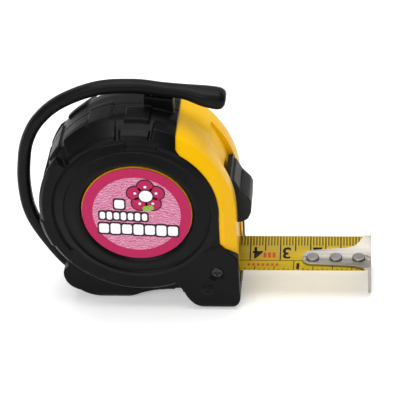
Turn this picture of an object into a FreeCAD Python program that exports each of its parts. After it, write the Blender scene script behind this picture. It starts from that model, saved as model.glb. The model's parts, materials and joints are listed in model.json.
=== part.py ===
"""Pocket tape measure with a rubber jacket, a hand strap, a slide lock and a sprung reel.

Frame: millimetres. The origin is on the floor, below the reel's axis, on the plane where the
two case halves meet. +X is the way the blade comes out, +Z is up, and the label is on the -Y side.
"""
import FreeCAD, Part
import math
import os

Vector = FreeCAD.Vector

# ---------------------------------------------------------------- driving dimensions
# reel and its axis
reel_z = 39.0
flange_r = 23.0
flange_gap = 1.0
flange_thick = 1.4
hub_r = 16.0
hub_wall = 1.4
post_r = 3.5
running_gap = 0.05
washer_r = 6.0
washer_gap = 0.1

# hard case: two yellow halves
shell_r = 29.7
wall = 1.6
side_wall = 2.1
side_y = 15.5
crease_drop = 2.5
bevel = 3.7
nose_x = 31.0
nose_join_deg = 45.0
keel_z = 5.6
keel_half = 10.8
keel_wall = 1.2
keel_front_x = 12.5
rear_x = -24.2
rear_chamfer = (2.8, 3.0)

# rubber jacket
tread_r = 30.8
lug_r = 31.5
face_rise = 1.5
dish_gap = 0.1
dish_flare = 1.2
ring_r = 23.0
band_r = 26.7
sill_r = 26.0
sill_x = 13.6
skin = 0.8
lip = 0.4
bezel_low_r = 31.4
bezel_high_r = 32.0
bezel_rise = 0.7
dimple_r = 0.5
dimple_depth = 0.7

# feet
front_foot_rise = 0.9
foot_top_z = 26.4
foot_lip_z = 20.6
front_foot_round = 2.6
rear_foot_half = 11.6
rear_foot_round = 3.4
sole_end_x = 1.6
sole_half = 4.8

# label
label_r = 17.4
label_thick = 0.4
boss_rim = 0.15
boss_rise = 0.9

# blade
blade_half = 9.2
blade_sag = 2.9
blade_thick = 0.18
blade_low_z = 8.1
blade_out_x = 71.9
blade_in_x = 21.0
coil_gap = 0.3
coil_pitch = 0.5
coil_strip = 0.42
coil_turns = 8
guide_half = 6.5
mouth_side_gap = 0.9
mouth_low_gap = 0.6
mouth_high_gap = 1.52

# power spring
spring_half = 8.5
spring_gap = 0.5
spring_pitch = 0.6
spring_strip = 0.3
spring_turns = 15

# end hook and its rivets
hook_thick = 0.7
hook_play = 0.9
hook_plate = 1.0
hook_tail_x = 51.3
hook_tongue_half = 3.9
hook_root_half = 4.8
hook_drop_z = 0.2
hook_gap = 0.05
rivet_x = [54.7, 62.3, 69.8]
rivet_r = 1.0
rivet_head_r = 2.1
rivet_head = 0.65
rivet_tail_r = 1.7
rivet_tail = 0.4

# lock: the slider runs on a curved track whose centre lies far behind it
track_back = 46.0
track_drop = 5.0
track_r = 44.2
track_gap = 0.2
slot_half = 7.5
slot_gap = 0.3
slot_up = 24.0
slot_down = 10.6
slot_foot = 0.6
floor_wall = 1.8
slider_thick = 1.6
slider_low_deg = -7.5
slider_high_deg = 15.0
lock_travel_deg = 8.0
neck_half = 2.6
neck_low_deg = -1.5
neck_high_deg = 9.0
retainer_thick = 1.3
retainer_half = 5.5
grip_half = 6.2
grip_proud = 4.6

# brake shoe
brake_down = 6.4
brake_up = 0.4
brake_deep = 1.6
brake_rim_gap = 0.15
brake_pad_thick = 0.7
brake_rail = 1.2
brake_rail_gap = 0.2

# hand strap: thickness and half width, and the stretch between its ends
strap_thick = 4.2
strap_half = 2.3
strap_pad_half = 3.8
strap_root_r = 1.9
strap_pin_r = 0.9
strap_pin_half = 1.6
strap_lug_half = 1.0

# screws
screw_r = 1.2
screw_gap = 0.05
screw_head_r = 2.0
screw_head = 1.0
foot_screw_back = 6.7
foot_screw_z = 15.0
boss_r = 2.6
recess_r = 2.85
recess_floor = 0.4
foot_screw_sink = 0.5
pad_back = 10.0
pad_z = 8.6
pad_r = 2.3

# belt clip
clip_thick = 0.9
clip_half = 7.0
clip_reach = 3.0

# places that follow from the sizes above
inner_y = side_y - side_wall
crease_y = side_y - crease_drop
face_y = side_y + face_rise
bezel_y = side_y + bezel_rise
boss_y = side_y + boss_rise
front_foot_half = side_y + front_foot_rise
dish_r = label_r + boss_rim + dish_gap
coil_half = blade_half
flange_inner_y = coil_half + flange_gap
mouth_half = blade_half + mouth_side_gap
mouth_low_z = blade_low_z - mouth_low_gap
mouth_high_z = blade_low_z + blade_sag + blade_thick + mouth_high_gap
track_x = nose_x - track_back
track_z = reel_z - track_drop
slot_top_z = track_z + slot_up
slot_low_z = track_z - slot_down
brake_low_z = reel_z - brake_down
brake_high_z = reel_z + brake_up
brake_back_x = flange_r + brake_deep
foot_screw_x = nose_x - foot_screw_back
pad_x = nose_x - pad_back
reel_axis = Vector(0, 0, reel_z)
y_axis = Vector(0, 1, 0)
z_axis = Vector(0, 0, 1)
x_axis = Vector(1, 0, 0)
big = 200.0


# ---------------------------------------------------------------- helpers
def box(x0, x1, y0, y1, z0, z1):
    """Block between two corners."""
    return Part.makeBox(x1 - x0, y1 - y0, z1 - z0, Vector(x0, y0, z0))


def disc(radius, y0, y1, x=0.0, z=reel_z):
    """Cylinder along Y, round the reel's axis unless another place is given."""
    return Part.makeCylinder(radius, y1 - y0, Vector(x, y0, z), y_axis)


def ring(inner, outer, y0, y1, x=0.0, z=reel_z):
    """Hollow cylinder along Y."""
    return disc(outer, y0, y1, x, z).cut(disc(inner, y0 - 1, y1 + 1, x, z))


def slab(points, y0, y1):
    """Prism along Y over a closed outline of (x, z) points."""
    corners = [Vector(x, y0, z) for x, z in points]
    face = Part.Face(Part.makePolygon(corners + corners[:1]))
    return face.extrude(Vector(0, y1 - y0, 0))


def profile(segments, y0, y1):
    """Prism along Y over a closed outline; a segment is a line of two (x, z) points or an arc of three."""
    edges = []
    for segment in segments:
        points = [Vector(x, y0, z) for x, z in segment]
        edges.append(Part.Arc(*points).toShape() if len(points) == 3 else Part.makeLine(*points))
    return Part.Face(Part.Wire(edges)).extrude(Vector(0, y1 - y0, 0))


def column(points, x0, x1):
    """Prism along X over a closed outline of (y, z) points."""
    corners = [Vector(x0, y, z) for y, z in points]
    face = Part.Face(Part.makePolygon(corners + corners[:1]))
    return face.extrude(Vector(x1 - x0, 0, 0))


def turned(points, start_deg=0.0, sweep_deg=360.0):
    """Solid of (radius, y) points turned round the reel's axis; angles rise from +X towards +Z."""
    corners = [Vector(r, y, reel_z) for r, y in points]
    face = Part.Face(Part.makePolygon(corners + corners[:1]))
    solid = face.revolve(reel_axis, -y_axis, sweep_deg)
    solid.rotate(reel_axis, -y_axis, start_deg)
    return solid


def both_sides(solid):
    """A solid and its mirror image on the other side of the parting plane."""
    return solid.fuse(solid.mirror(Vector(0, 0, 0), y_axis))


def polar(radius, deg):
    """Point (x, z) round the reel's axis."""
    angle = math.radians(deg)
    return radius * math.cos(angle), reel_z + radius * math.sin(angle)


def track_sector(r0, r1, deg0, deg1, half):
    """Curved block that runs on the lock's track."""
    step = math.radians(deg1 - deg0) / 2
    mid = math.radians(deg0) + step

    def at(radius, angle):
        return Vector(track_x + radius * math.cos(angle), -half, track_z + radius * math.sin(angle))

    a0, a1 = mid - step, mid + step
    outer = Part.Arc(at(r1, a0), at(r1, mid), at(r1, a1)).toShape()
    inner = Part.Arc(at(r0, a1), at(r0, mid), at(r0, a0)).toShape()
    ends = [Part.makeLine(at(r1, a1), at(r0, a1)), Part.makeLine(at(r0, a0), at(r1, a0))]
    face = Part.Face(Part.Wire([outer, ends[0], inner, ends[1]]))
    return face.extrude(Vector(0, 2 * half, 0))


def band(stations, half, smooth=True):
    """Strip with the given (x, z, thickness) stations along its middle, as wide as 2 * half."""
    upper, lower = [], []
    for i, (x, z, thick) in enumerate(stations):
        x0, z0, _ = stations[max(i - 1, 0)]
        x1, z1, _ = stations[min(i + 1, len(stations) - 1)]
        length = math.hypot(x1 - x0, z1 - z0)
        nx, nz = -(z1 - z0) / length, (x1 - x0) / length
        upper.append(Vector(x + nx * thick / 2, -half, z + nz * thick / 2))
        lower.append(Vector(x - nx * thick / 2, -half, z - nz * thick / 2))

    def edge(points):
        if not smooth:
            return Part.makePolygon(points).Edges
        curve = Part.BSplineCurve()
        curve.interpolate(points)
        return [curve.toShape()]

    edges = edge(upper) + [Part.makeLine(upper[-1], lower[-1])]
    edges += edge(lower[::-1]) + [Part.makeLine(lower[0], upper[0])]
    face = Part.Face(Part.Wire(edges))
    return face.extrude(Vector(0, 2 * half, 0))


def spiral(r_start, turns, pitch, strip, half):
    """Flat spiral of a strip, made of half circles whose centres change side each time."""
    inner_edges, outer_edges = [], []
    first, last = None, None
    for i in range(2 * turns):
        side = 1 if i % 2 == 0 else -1
        centre_x = 0.0 if i % 2 == 0 else pitch / 2
        radius = r_start + i * pitch / 2
        for extra, edges in ((0.0, inner_edges), (strip, outer_edges)):
            r = radius + extra
            start = Vector(centre_x + side * r, -half, reel_z)
            middle = Vector(centre_x, -half, reel_z + side * r)
            end = Vector(centre_x - side * r, -half, reel_z)
            edges.append(Part.Arc(start, middle, end).toShape())
            if i == 0 and extra == 0.0:
                first = start
            if i == 2 * turns - 1 and extra == 0.0:
                last = end
    way = Vector(strip, 0, 0)
    caps = [Part.makeLine(first, first + way), Part.makeLine(last, last + way)]
    wire = Part.Wire(Part.__sortEdges__(inner_edges + outer_edges + caps))
    return Part.Face(wire).extrude(Vector(0, 2 * half, 0))


def blade_band(radius, thick, half, x0, x1):
    """Curved strip along X that follows the blade's hollow; radius is its upper face's."""
    centre_z = blade_low_z + blade_thick + blade_r
    angle = math.asin(half / radius)

    def at(r, a):
        return Vector(x0, r * math.sin(a), centre_z - r * math.cos(a))

    low = radius + thick
    upper = Part.Arc(at(radius, -angle), at(radius, 0), at(radius, angle)).toShape()
    lower = Part.Arc(at(low, angle), at(low, 0), at(low, -angle)).toShape()
    ends = [Part.makeLine(at(radius, angle), at(low, angle)),
            Part.makeLine(at(low, -angle), at(radius, -angle))]
    face = Part.Face(Part.Wire([upper, ends[0], lower, ends[1]]))
    return face.extrude(Vector(x1 - x0, 0, 0))


def one_solid(shape):
    """The solid of a boolean result, with leftover seams removed."""
    shape = shape.removeSplitter()
    solids = sorted(shape.Solids, key=lambda s: s.Volume)
    return solids[-1]


# radius of the blade's hollow, from its half width and its sag
blade_r = (blade_half ** 2 + blade_sag ** 2) / (2 * blade_sag)
half_space_front = box(-big, big, -big, 0, -big, big)
half_space_rear = box(-big, big, 0, big, -big, big)

parts = {}


# ---------------------------------------------------------------- case outline
def case_outline(inset, y):
    """Outline of the hard case seen from the side, moved inwards by inset, at a given y."""
    join = math.radians(nose_join_deg)
    # the nose's arc leaves the round back at the join and ends upright on the front face
    shift = (nose_x - shell_r) / (1 - math.cos(join))
    nose_r = shell_r + shift
    nose_cx, nose_cz = -shift * math.cos(join), reel_z - shift * math.sin(join)
    back, nose = shell_r - inset, nose_r - inset
    front, rear, low = nose_x - inset, rear_x + inset, keel_z + inset

    def back_at(angle):
        return Vector(back * math.cos(angle), y, reel_z + back * math.sin(angle))

    rear_angle = 2 * math.pi - math.acos(rear / back)
    start = back_at(join)
    rear_top = back_at(rear_angle)
    middle = back_at((join + rear_angle) / 2)
    # a chamfered rear corner, moved inwards parallel to itself
    dx, dz = rear_chamfer
    length = math.hypot(dx, dz)
    cut_x = inset * (length - dz) / dx - inset
    cut_z = inset * (length - dx) / dz - inset
    corner_a = Vector(rear, y, keel_z + dz + inset + cut_z)
    corner_b = Vector(rear_x + dx + inset + cut_x, y, low)
    corner_c = Vector(front, y, low)
    nose_low = Vector(front, y, nose_cz)
    half = join / 2
    nose_mid = Vector(nose_cx + nose * math.cos(half), y, nose_cz + nose * math.sin(half))
    edges = [Part.Arc(start, middle, rear_top).toShape(), Part.makeLine(rear_top, corner_a),
             Part.makeLine(corner_a, corner_b), Part.makeLine(corner_b, corner_c),
             Part.makeLine(corner_c, nose_low), Part.Arc(nose_low, nose_mid, start).toShape()]
    return Part.Wire(edges)


def case_prism(inset, half):
    """Prism of the case outline across the parting plane."""
    return Part.Face(case_outline(inset, -half)).extrude(Vector(0, 2 * half, 0))


def case_solid(outset):
    """Outer solid of the case with its bevelled sides, grown outwards by outset."""
    middle_half = crease_y + outset / 2
    middle = case_prism(-outset, middle_half)
    sides = [case_outline(-outset, -middle_half), case_outline(bevel - outset / 2, -side_y - outset)]
    return middle.fuse(both_sides(Part.makeLoft(sides, True, True)))


def shoulder_ring(inset, start_deg, sweep_deg):
    """What is left off the case's round back, so that the rubber over it can slope like a tyre."""
    start_y = side_y - 6.0 - inset / 2
    points = [(shell_r - inset, start_y), (shell_r - 0.8 - inset, start_y + 1.5),
              (shell_r - 3.3 - inset, side_y), (shell_r - 3.3 - inset, side_y + 1),
              (shell_r + 3, side_y + 1), (shell_r + 3, start_y)]
    return both_sides(turned([(r, -y) for r, y in points], start_deg, sweep_deg))


def beside_keel(half):
    """Space on both sides of the narrow keel, outside the round back and behind the front foot."""
    side = box(-big, keel_front_x, half, big, -big, reel_z).cut(disc(shell_r, 0, big))
    return both_sides(side)


shoulder_from = 75.0
shoulder_sweep = 115.0
shell_outer = case_solid(0.0).cut(shoulder_ring(0.0, shoulder_from, shoulder_sweep))
shell_outer = shell_outer.cut(beside_keel(keel_half))
shell_outer = shell_outer.fuse(disc(label_r + boss_rim, -boss_y, boss_y))


# ---------------------------------------------------------------- strap route
# (degrees round the reel, gap above the tread, thickness) from the front tab to the rear foot
strap_run = [(66.0, 5.4, 4.3), (76.0, 4.0, 4.2), (90.0, 4.1, strap_thick), (108.0, 5.2, strap_thick),
             (127.0, 6.4, strap_thick), (142.0, 7.0, strap_thick), (155.0, 6.6, strap_thick),
             (168.0, 5.7, strap_thick), (181.0, 5.6, strap_thick), (195.0, 6.2, strap_thick),
             (208.0, 6.4, strap_thick)]
strap_stations = []
for deg, gap, thick in strap_run:
    x, z = polar(tread_r + gap + strap_thick / 2, deg)
    strap_stations.append((x, z, thick))
tab_root_x, tab_root_z, _ = strap_stations[0]
strap_tab = [(tab_root_x + 12.6, tab_root_z - 2.9, 4.6), (tab_root_x + 10.8, tab_root_z - 2.5, 6.3),
             (tab_root_x + 5.8, tab_root_z - 1.5, 5.5)]
anchor_x = rear_x + 3.3
anchor_z = keel_z - 2.15
strap_root = [(anchor_x - 7.6, anchor_z + 6.4, strap_thick),
              (anchor_x - 2.6, anchor_z + 0.9, 3.4)]
strap_stations = strap_tab + strap_stations + strap_root
strap_eye_x, strap_eye_z = polar(tread_r + 4.1 + strap_thick / 2, 78.0)


def make_strap():
    """Moulded strap: a slim band, a wide thumb tab at the front and a round root at the rear."""
    plan = [(-big, strap_half), (tab_root_x - 1.0, strap_half), (tab_root_x + 4.0, strap_pad_half),
            (big, strap_pad_half)]
    corners = [Vector(x, y, 0) for x, y in plan + [(x, -y) for x, y in plan[::-1]]]
    outline = Part.Face(Part.makePolygon(corners + corners[:1])).extrude(Vector(0, 0, big))
    strap = band(strap_stations, strap_pad_half).common(outline)
    root = disc(strap_root_r, -strap_half, strap_half, anchor_x, anchor_z)
    strap = strap.fuse(root)
    # the case's lug enters the strap from below, and one pin crosses each end
    slot = box(strap_eye_x - 3.2, strap_eye_x + 3.2, -strap_lug_half - 0.1, strap_lug_half + 0.1,
               0, strap_eye_z + 1.3)
    strap = strap.cut(slot)
    for x, z in ((strap_eye_x, strap_eye_z), (anchor_x, anchor_z)):
        strap = strap.cut(disc(strap_pin_r, -strap_pin_half, big, x, z))
    return one_solid(strap)


def make_strap_pins():
    """The two identical cross pins that hold the strap's ends."""
    ends = ((strap_eye_x, strap_eye_z), (anchor_x, anchor_z))
    return Part.makeCompound([disc(strap_pin_r, -strap_pin_half, strap_pin_half, x, z) for x, z in ends])


strap_lug = box(strap_eye_x - 3.0, strap_eye_x + 3.0, -strap_lug_half, strap_lug_half,
                reel_z + shell_r - 3.0, strap_eye_z + 1.1)
strap_pedestal = box(strap_eye_x - 4.6, strap_eye_x + 4.6, -strap_half, strap_half,
                     reel_z + shell_r - 3.0, reel_z + tread_r + 3.9)


# ---------------------------------------------------------------- hard case
def make_shells():
    """Two case halves with the lock's track, the blade's mouth and the screw bosses."""
    cavity = case_prism(wall, inner_y).cut(shoulder_ring(wall, shoulder_from - 3, shoulder_sweep + 6))
    narrow = box(-big, keel_front_x + wall, keel_half - keel_wall, big, -big, reel_z)
    cavity = cavity.cut(both_sides(narrow.cut(disc(shell_r - wall, 0, big))))
    backing = case_prism(0.0, slot_half + floor_wall)
    behind = Part.makeCylinder(track_r - floor_wall, 2 * big, Vector(track_x, -big, track_z), y_axis)
    backing = backing.cut(behind).common(box(0, big, -big, big, slot_low_z - floor_wall, slot_top_z + wall))
    cavity = cavity.cut(backing)
    boss = disc(boss_r, -inner_y - 0.5, inner_y + 0.5, foot_screw_x, foot_screw_z)
    cavity = cavity.cut(boss)
    rail_out = inner_y - 1.3
    for z0 in (brake_low_z - brake_rail_gap - brake_rail, brake_high_z + brake_rail_gap):
        rail = box(flange_r - 0.4, nose_x, rail_out, inner_y + 0.5, z0, z0 + brake_rail)
        cavity = cavity.cut(both_sides(rail))
    shell = shell_outer.fuse(strap_lug).cut(cavity)

    # the track: a curved slot down the nose, and a shallow foot of it that runs to the mouth
    inside = Part.makeCylinder(track_r, 2 * big, Vector(track_x, -big, track_z), y_axis)
    slot = box(0, big, -slot_half, slot_half, slot_low_z, slot_top_z).cut(inside)
    foot = box(nose_x - slot_foot, big, -slot_half, slot_half, mouth_low_z, slot_low_z)
    window_low = neck_low_deg - 0.7
    window_high = neck_high_deg + lock_travel_deg + 0.7
    window = track_sector(track_r - floor_wall - 1, track_r + 1, window_low, window_high, neck_half + slot_gap)
    mouth = box(nose_x - 5, big, -mouth_half, mouth_half, mouth_low_z, mouth_high_z)
    shell = shell.cut([slot, foot, window, mouth])

    # holes: foot screw, centre screw from the front, clip screw from the rear, strap pins
    hole_r = screw_r + screw_gap
    shell = shell.cut(disc(hole_r, -big, inner_y - 1, foot_screw_x, foot_screw_z))
    shell = shell.cut(disc(recess_r, -big, -side_y + foot_screw_sink, foot_screw_x, foot_screw_z))
    shell = shell.cut(disc(hole_r, -big, big))
    shell = shell.cut(disc(screw_head_r + screw_gap, -big, -boss_y + screw_head))
    shell = shell.cut(disc(strap_pin_r, -big, big, strap_eye_x, strap_eye_z))
    return one_solid(shell.common(half_space_front)), one_solid(shell.common(half_space_rear))


# ---------------------------------------------------------------- rubber jacket
def foot_block(side_solid, half, radius):
    """Rubber foot: a prism across the case, rounded along both lower edges."""
    bounds = side_solid.BoundBox
    top = bounds.ZMax
    arc = [(half - radius + radius * math.sin(a), radius - radius * math.cos(a))
           for a in [math.radians(d) for d in (0, 15, 30, 45, 60, 75, 90)]]
    section = arc + [(half, top)] + [(-y, z) for y, z in ([(half, top)] + arc[::-1])]
    return side_solid.common(column(section, bounds.XMin - 1, bounds.XMax + 1))


def shoulder_lug(deg0, deg1, reach=9.9):
    """Tread block on the near shoulder: it slopes down to the side wall, from reach inside it."""
    slope = [(lug_r, side_y - 9.5), (lug_r - 0.1, side_y - 7.5), (lug_r - 1.8, side_y - 3.3),
             (lug_r - 2.9, side_y - 0.3)]
    inner = side_y - reach
    start = inner + 0.4
    # height of the slope where the block starts
    after = next(i for i, (_, y) in enumerate(slope) if y >= start)
    r0, y0 = slope[max(after - 1, 0)]
    r1, y1 = slope[after]
    share = (start - y0) / (y1 - y0) if after else 0.0
    root = band_r + 0.4
    points = [(root, inner), (r0 + share * (r1 - r0), start)] + slope[after:]
    points += [(root + 0.5, side_y + 0.6), (root, side_y - 0.5)]
    return turned([(r, -y) for r, y in points], deg0, deg1 - deg0)


def far_lug(deg0, deg1):
    """The same block on the far shoulder."""
    return shoulder_lug(deg0, deg1).mirror(Vector(0, 0, 0), y_axis)


def bezel_step(deg0, deg1, radius):
    """Stretch of the near rim that stands out round the lower and rear sides of the case."""
    root = band_r + 0.4
    low = bezel_y - 3.6
    rib = [(root, low), (radius - 0.8, low), (radius, low + 0.8), (radius, low + 2.1), (radius - 1.3, bezel_y),
           (root, bezel_y)]
    return turned([(r, -y) for r, y in rib], deg0, deg1 - deg0)


def crown_lug(deg0, deg1, y0, y1, height):
    """Tread block on the crown between two places across it."""
    top = tread_r + height
    return turned([(shell_r - 2, y0), (top, y0 + 0.4), (top, y1 - 0.4), (shell_r - 2, y1)], deg0, deg1 - deg0)


def make_jackets():
    """Overmoulded rubber: tyre-like body, two feet and a skin over the keel, less the bare nose."""
    section = [(0, 0), (tread_r, 0), (tread_r, side_y - 9.5), (tread_r - 0.4, side_y - 6.5),
               (tread_r - 1.2, side_y - 4.5), (tread_r - 2.3, side_y - 2.5), (tread_r - 3.5, side_y - 0.1),
               (band_r + 0.3, side_y + lip), (band_r, side_y - 0.3), (band_r - 0.4, side_y + lip),
               (ring_r + 0.5, side_y + 1.4), (ring_r, side_y + 0.6), (ring_r - 0.5, side_y + 0.8),
               (dish_r + dish_flare + 0.8, face_y), (dish_r + dish_flare, face_y),
               (dish_r, face_y - 1.0), (dish_r, side_y - 1), (0, side_y - 1)]
    body = turned(section).fuse(turned([(r, -y) for r, y in section]))
    toe_x = nose_x + lip
    heel, arch, sole_back = (nose_x - 17.6, 7.1), (nose_x - 15.4, 3.2), (nose_x - 10.4, 0)
    back_low, back_high = (nose_x - 20.8, 12.2), (nose_x - 11.0, foot_top_z - 3.0)
    top = (nose_x - 4.5, foot_top_z + 0.2)
    toe_high, toe_low, sole_front = (toe_x, foot_top_z - 2.4), (toe_x, 6.6), (nose_x - 4.0, 0)
    front_side = profile([[heel, arch, sole_back], [sole_back, sole_front],
                          [sole_front, (nose_x - 0.6, 1.9), toe_low], [toe_low, toe_high], [toe_high, top],
                          [top, back_high], [back_high, back_low], [back_low, heel]],
                         -front_foot_half, front_foot_half)
    front_foot = foot_block(front_side, front_foot_half, front_foot_round)
    rear_side = profile([[(-26.6, 12.0), (-26.2, 8.0), (-21.7, 4.2)], [(-21.7, 4.2), (-17.2, 1.6), (-12.4, 0)],
                         [(-12.4, 0), (-7.4, 0)], [(-7.4, 0), (-4.4, 1.4), (-1.5, 3.0)],
                         [(-1.5, 3.0), (2.7, 4.1), (9.6, 4.6)], [(9.6, 4.6), (12, 12)],
                         [(12, 12), (-20, 20)], [(-20, 20), (-26.6, 12.0)]],
                        -rear_foot_half, rear_foot_half)
    rear_foot = foot_block(rear_side, rear_foot_half, rear_foot_round)
    # the middle of the sole runs on under the reel's axis
    sole = profile([[(-10.0, 0), (sole_end_x, 0)], [(sole_end_x, 0), (sole_end_x + 2.4, 4.4)],
                    [(sole_end_x + 2.4, 4.4), (-10.0, 4.4)], [(-10.0, 4.4), (-10.0, 0)]], -sole_half, sole_half)
    rear_foot = rear_foot.fuse(sole)
    cover = case_solid(skin).common(box(-big, toe_x, -big, big, 0, reel_z - shell_r / 2))
    cover = cover.cut(beside_keel(keel_half + skin / 2))
    collar = case_solid(skin).common(turned([(20, -big), (big, -big), (big, big), (20, big)], 50, 27))
    # thin web that fills the corner between the ring, the bare nose and the front foot
    web = case_solid(lip).common(box(nose_x - 12.0, sill_r - 0.2, -big, big, foot_lip_z + 1.0, reel_z - 1.0))
    web = web.cut(disc(band_r - 0.4, -big, big))
    jacket = body.fuse([front_foot, rear_foot, cover, web, collar, strap_pedestal])
    for deg0, deg1, radius in ((141, 290, bezel_low_r), (187, 206, bezel_high_r)):
        jacket = jacket.fuse(bezel_step(deg0, deg1, radius))
    for deg0, deg1, radius in ((166, 290, bezel_low_r), (176, 194, bezel_high_r)):
        jacket = jacket.fuse(bezel_step(deg0, deg1, radius).mirror(Vector(0, 0, 0), y_axis))

    # tread: near shoulder, far shoulder set a little further round, and the blocks on the crown
    for deg0, deg1, reach in ((79, 97, 3.3), (100, 119, 6.9), (118, 136, 11.3)):
        jacket = jacket.fuse(shoulder_lug(deg0, deg1, reach))
    for deg0, deg1 in ((122, 137), (145, 158), (163, 176), (181, 194)):
        jacket = jacket.fuse(far_lug(deg0, deg1))
    jacket = jacket.fuse(crown_lug(80, 94, -10.4, -2.4, 0.7))
    jacket = jacket.fuse(crown_lug(103, 118, -8.2, 2.4, 0.5))
    for deg0, deg1 in ((141, 153), (158, 170), (175, 187), (192, 204)):
        jacket = jacket.fuse(crown_lug(deg0, deg1, -8.0, 5.0, 0.6))

    # the yellow nose stays bare: a round sill by the ring, and a sloped one above the foot
    arc = [polar(sill_r, d) for d in range(55, -10, -5)]
    above, top_z = reel_z + 51.0, reel_z + 23.2
    nose_window = [(sill_x, above), (sill_x, top_z)] + arc
    nose_window += [(sill_r - 0.2, foot_top_z), (toe_x, foot_lip_z), (big, foot_lip_z), (big, above)]
    jacket = jacket.cut(slab(nose_window, -big, big))
    jacket = jacket.cut(box(nose_x, big, -crease_y, crease_y, mouth_low_z, reel_z))
    jacket = jacket.cut(box(nose_x - 6, big, -mouth_half, mouth_half, mouth_low_z, mouth_high_z))
    jacket = jacket.cut(shell_outer)
    jacket = jacket.cut(disc(dish_r, -big, big))

    # pocket in the side wall, the foot screw's recess, and small blind holes low on the rim
    pocket = turned([(band_r - 2.1, -face_y - 0.5), (band_r + 0.7, -face_y - 0.5),
                     (band_r + 0.7, -side_y - 0.2), (band_r - 2.1, -side_y - 0.2)], 72, 22)
    jacket = jacket.cut(both_sides(pocket))
    seat_y = -side_y - recess_floor
    jacket = jacket.cut(disc(recess_r, -big, 0, foot_screw_x, foot_screw_z))
    # rubber lines the counterbore round the screw's head
    lining = ring(screw_head_r + screw_gap, recess_r, seat_y, -side_y + foot_screw_sink, foot_screw_x, foot_screw_z)
    jacket = jacket.fuse(lining)
    pad = Part.makeCone(pad_r, pad_r - 0.7, 0.7, Vector(pad_x, -front_foot_half + 0.2, pad_z), -y_axis)
    jacket = jacket.fuse(pad)
    for deg in (-140, -127, -115):
        x, z = polar(30.2, deg)
        jacket = jacket.cut(disc(dimple_r, -big, -bezel_y + dimple_depth, x, z))
    jacket = jacket.cut([parts["hand_strap"], strap_lug, parts["mouth_bumper"]])
    for pin in parts["strap_pins"].Solids:
        jacket = jacket.cut(pin)
    return one_solid(jacket.common(half_space_front)), one_solid(jacket.common(half_space_rear))


# ---------------------------------------------------------------- small case parts
def screw(y_seat, y_tip, way, x=0.0, z=reel_z):
    """Pan-head screw along Y; way is +1 when the tip points towards +Y."""
    shank = disc(screw_r, min(y_seat, y_tip), max(y_seat, y_tip), x, z)
    y_top = y_seat - way * screw_head
    head = disc(screw_head_r, min(y_seat, y_top), max(y_seat, y_top), x, z)
    top_edges = [e for e in head.Edges if abs(e.BoundBox.YMin - y_top) < 1e-6 and e.BoundBox.YLength < 1e-6]
    head = head.makeFillet(screw_head * 0.55, top_edges)
    cross = 0.45
    slot = box(x - screw_head_r * 0.6, x + screw_head_r * 0.6, min(y_top, y_top + way * cross),
               max(y_top, y_top + way * cross), z - 0.25, z + 0.25)
    second = slot.copy()
    second.rotate(Vector(x, 0, z), y_axis, 90)
    return one_solid(head.fuse(shank).cut([slot, second]))


def make_label():
    """Round label plate in the dish."""
    return disc(label_r, -boss_y - label_thick, -boss_y)


def make_centre_post():
    """Fixed arbor of the reel, slotted for the power spring's inner end and bored for the screws."""
    post = disc(post_r, -inner_y, inner_y)
    post = post.cut(box(-0.3, 0.3, -spring_half, spring_half, reel_z, reel_z + post_r + 1))
    return one_solid(post.cut(disc(screw_r, -big, big)))


def make_washers():
    """Two identical nylon thrust washers beside the reel's flanges."""
    flange_out = flange_inner_y + flange_thick
    washer = ring(post_r + running_gap, washer_r, flange_out + washer_gap, inner_y)
    return Part.makeCompound([washer, washer.mirror(Vector(0, 0, 0), y_axis)])


def make_belt_clip():
    """Sprung steel clip on the rear, bent from one strip."""
    y0 = boss_y + clip_thick / 2
    far = face_y + clip_reach + clip_thick / 2
    path = [(y0, reel_z + 8.5), (y0, reel_z - 6.0), (far - 0.6, reel_z - 10.5), (far, reel_z - 12.0),
            (far, 17.0), (far - 0.5, 15.0), (face_y + 1.0, 11.6), (face_y + 1.3, 10.4), (face_y + 2.6, 8.6)]
    flat = band([(y, z, clip_thick) for y, z in path], clip_half, smooth=False)
    # the strip is drawn lying in X-Z and is turned so that its bends run in Y-Z
    flat.rotate(Vector(0, 0, 0), z_axis, 90)
    tip = Part.makeCylinder(clip_half, 2 * big, Vector(0, -big, 8.6 + clip_half * 0.9), y_axis)
    lower = box(-big, big, -big, big, 0, 8.6 + clip_half * 0.9)
    flat = flat.cut(lower.cut(tip))
    return one_solid(flat.cut(disc(screw_r + screw_gap, -big, big)))


def make_mouth_bumper():
    """Rubber block under the mouth that the end hook closes against."""
    return box(nose_x, nose_x + lip + 0.1, -5.0, 5.0, 3.2, mouth_low_z - 1.0)


def make_blade_guide():
    """Channel on the case floor whose two rails carry the blade."""
    floor_z = keel_z + wall
    base = box(2.0, nose_x - wall - 0.2, -guide_half, guide_half, floor_z, floor_z + 0.3)
    rail = box(2.0, nose_x - wall - 0.2, -guide_half, -guide_half + 1.9, floor_z, blade_low_z + 0.4)
    return one_solid(base.fuse(both_sides(rail)))


def make_blade_lead():
    """Stretch of the blade between the coil and the straight run, lying above the straight run."""
    start_z = reel_z - coil_outer_r - 0.35
    end_z = blade_low_z + blade_sag + blade_thick + 0.75
    drop = start_z - end_z
    path = [(0.0, start_z, blade_thick), (5.0, start_z - 0.08 * drop, blade_thick),
            (10.5, start_z - 0.45 * drop, blade_thick), (16.0, end_z + 0.08 * drop, blade_thick),
            (20.6, end_z, blade_thick)]
    return band(path, coil_half)


# ---------------------------------------------------------------- reel
coil_r = hub_r + coil_gap
coil_outer_r = coil_r + coil_turns * coil_pitch + coil_strip


def make_reel_drum():
    """Drum: the hub that carries the coil, with one flange."""
    bore = post_r + running_gap
    flange = ring(bore, flange_r, flange_inner_y, flange_inner_y + flange_thick)
    hub = ring(hub_r - hub_wall, hub_r, -flange_inner_y, flange_inner_y)
    return one_solid(flange.fuse(hub))


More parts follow.
